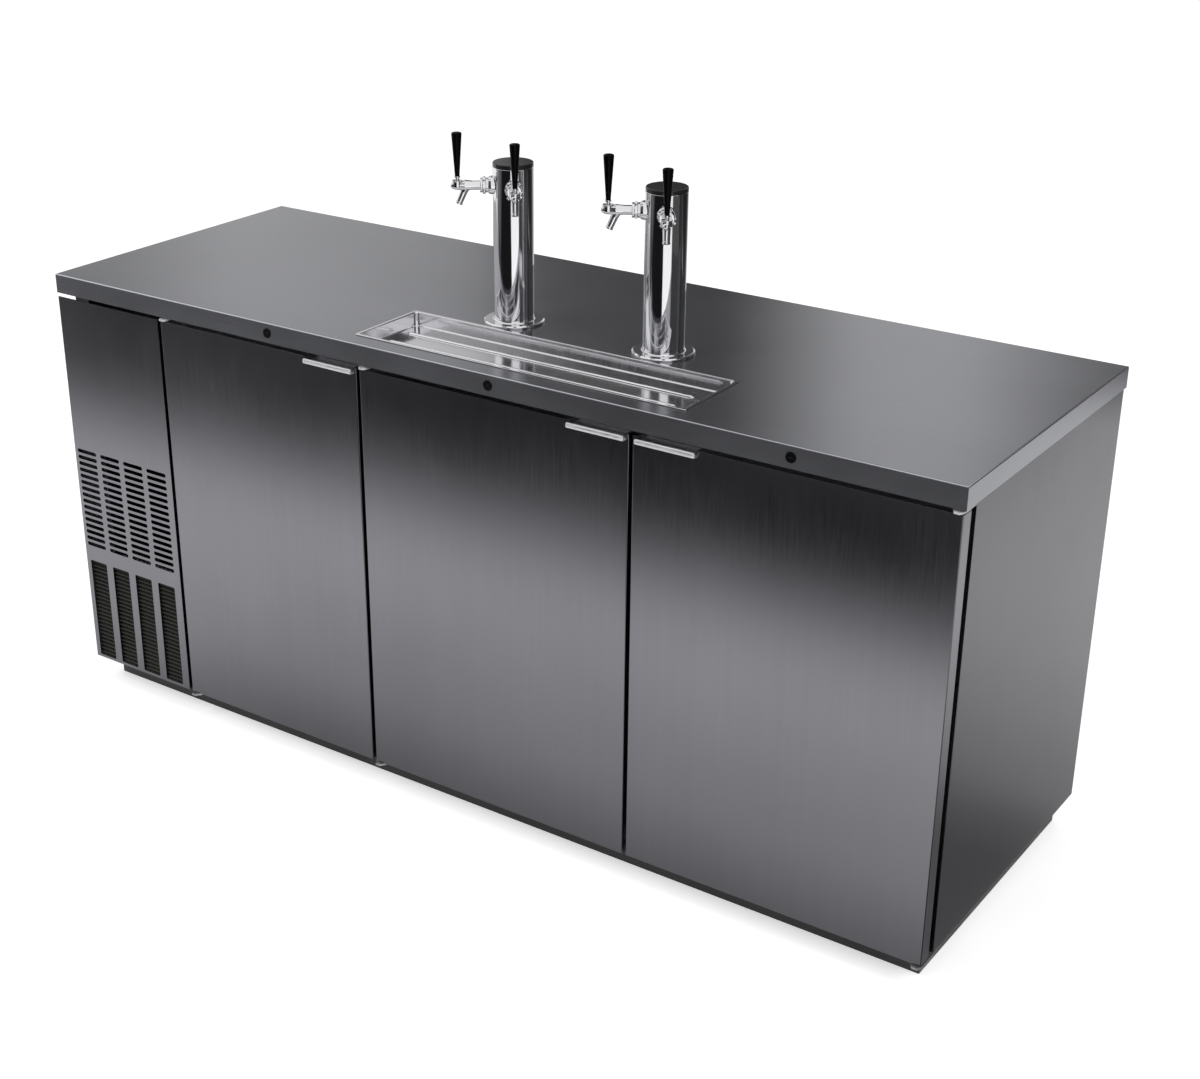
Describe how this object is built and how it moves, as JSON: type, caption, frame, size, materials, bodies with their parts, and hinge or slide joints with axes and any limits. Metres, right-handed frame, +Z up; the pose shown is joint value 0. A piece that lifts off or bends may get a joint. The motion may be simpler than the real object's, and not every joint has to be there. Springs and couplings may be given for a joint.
{
  "type": "draft beer cooler",
  "caption": "Direct-draw beer cooler with insulated doors, a grilled machine bay, a recessed drip pan and draught towers with tilting tap handles.",
  "frame": {"origin": "centre of the footprint of the whole object, on the floor", "axes": "+X to the right as seen from the front, +Y to the back, +Z up"},
  "size_m": [2.02, 0.697, 1.2985],
  "materials": {
    "base_black": "satin black paint",
    "brushed_steel": "satin stainless sheet with a fine upright grain",
    "counter_steel": "satin stainless sheet with a fine grain along its length",
    "insulated_liner": "pale liner over foam",
    "galvanized_sheet": "dull zinc",
    "coil_fins": "bare aluminium fins",
    "fan_metal": "pressed sheet blades",
    "black_enamel": "gloss black enamel",
    "lock_black": "black plated",
    "gasket_rubber": "soft black profile",
    "polished_steel": "bright polished stainless",
    "chrome": "mirror polished",
    "handle_black": "gloss black"
  },
  "bodies": {
    "cabinet": {"base_frame": "base_black", "left_side_sheet": "brushed_steel", "right_end_wall": "brushed_steel", "grille_panel": "brushed_steel", "countertop": "counter_steel", "insulated_floor": "insulated_liner", "partition_wall": "insulated_liner", "back_wall": "insulated_liner", "header_rail": "insulated_liner", "left_mullion": "insulated_liner", "right_mullion": "insulated_liner", "counter_core": "insulated_liner", "machine_tray": "galvanized_sheet", "evaporator_housing": "galvanized_sheet", "left_door_upper_hinge": "galvanized_sheet", "left_door_lower_hinge": "galvanized_sheet", "middle_door_upper_hinge": "galvanized_sheet", "middle_door_lower_hinge": "galvanized_sheet", "right_door_upper_hinge": "galvanized_sheet", "right_door_lower_hinge": "galvanized_sheet", "condenser_coil": "coil_fins", "evaporator_coil": "coil_fins", "compressor": "black_enamel", "condenser_fan_motor": "black_enamel", "evaporator_fan_motor": "black_enamel", "drip_pan": "polished_steel", "left_tower_column": "chrome", "right_tower_column": "chrome", "left_tower_cap": "chrome", "right_tower_cap": "chrome", "left_tower_left_shank": "chrome", "left_tower_right_shank": "chrome", "right_tower_left_shank": "chrome", "right_tower_right_shank": "chrome", "left_tower_left_coupling_nut": "chrome", "left_tower_right_coupling_nut": "chrome", "right_tower_left_coupling_nut": "chrome", "right_tower_right_coupling_nut": "chrome", "left_tower_left_faucet": "chrome", "left_tower_right_faucet": "chrome", "right_tower_left_faucet": "chrome", "right_tower_right_faucet": "chrome"},
    "left_door": {"left_door": "brushed_steel", "left_door_gasket": "gasket_rubber", "left_door_pull": "polished_steel"},
    "middle_door": {"middle_door": "brushed_steel", "middle_door_gasket": "gasket_rubber", "middle_door_pull": "polished_steel"},
    "right_door": {"right_door": "brushed_steel", "right_door_gasket": "gasket_rubber", "right_door_pull": "polished_steel"},
    "left_lock": {"left_door_lock": "lock_black"},
    "middle_lock": {"middle_door_lock": "lock_black"},
    "right_lock": {"right_door_lock": "lock_black"},
    "left_tower_left_lever": {"left_tower_left_tap_handle": "handle_black"},
    "left_tower_right_lever": {"left_tower_right_tap_handle": "handle_black"},
    "right_tower_left_lever": {"right_tower_left_tap_handle": "handle_black"},
    "right_tower_right_lever": {"right_tower_right_tap_handle": "handle_black"},
    "condenser_rotor": {"condenser_fan": "fan_metal"},
    "evaporator_rotor": {"evaporator_fan": "fan_metal"}
  },
  "joints": [
    {"name": "left_door_hinge", "type": "hinge", "parent": "cabinet", "child": "left_door", "pos_m": [-0.703, -0.3275, 0.47265], "axis": [0, 0, -1], "range_deg": [0, 100]},
    {"name": "middle_door_hinge", "type": "hinge", "parent": "cabinet", "child": "middle_door", "pos_m": [-0.186, -0.3275, 0.47265], "axis": [0, 0, -1], "range_deg": [0, 100]},
    {"name": "right_door_hinge", "type": "hinge", "parent": "cabinet", "child": "right_door", "pos_m": [0.997, -0.3275, 0.47265], "axis": [0, 0, 1], "range_deg": [0, 100]},
    {"name": "left_lock_turn", "type": "hinge", "parent": "cabinet", "child": "left_lock", "pos_m": [-0.4225, -0.3395, 0.9175], "axis": [0, 1, 0], "range_deg": [0, 90]},
    {"name": "middle_lock_turn", "type": "hinge", "parent": "cabinet", "child": "middle_lock", "pos_m": [0.102, -0.3395, 0.9175], "axis": [0, 1, 0], "range_deg": [0, 90]},
    {"name": "right_lock_turn", "type": "hinge", "parent": "cabinet", "child": "right_lock", "pos_m": [0.7065, -0.3395, 0.9175], "axis": [0, 1, 0], "range_deg": [0, 90]},
    {"name": "left_tower_left_lever_tilt", "type": "hinge", "parent": "cabinet", "child": "left_tower_left_lever", "pos_m": [-0.12416, -0.12291, 1.206], "axis": [0.6157, -0.788, 0], "range_deg": [0, 32]},
    {"name": "left_tower_right_lever_tilt", "type": "hinge", "parent": "cabinet", "child": "left_tower_right_lever", "pos_m": [0.02041, -0.14067, 1.206], "axis": [0.788, 0.6157, 0], "range_deg": [0, 32]},
    {"name": "right_tower_left_lever_tilt", "type": "hinge", "parent": "cabinet", "child": "right_tower_left_lever", "pos_m": [0.20365, -0.11408, 1.206], "axis": [0.5299, -0.848, 0], "range_deg": [0, 32]},
    {"name": "right_tower_right_lever_tilt", "type": "hinge", "parent": "cabinet", "child": "right_tower_right_lever", "pos_m": [0.34558, -0.14685, 1.206], "axis": [0.848, 0.5299, 0], "range_deg": [0, 32]},
    {"name": "condenser_fan_spin", "type": "hinge", "parent": "cabinet", "child": "condenser_rotor", "pos_m": [-0.868, -0.20055, 0.1743], "axis": [0, 1, 0], "continuous": true},
    {"name": "evaporator_fan_spin", "type": "hinge", "parent": "cabinet", "child": "evaporator_rotor", "pos_m": [-0.4, 0.21252, 0.7837], "axis": [0, 1, 0], "continuous": true}
  ]
}
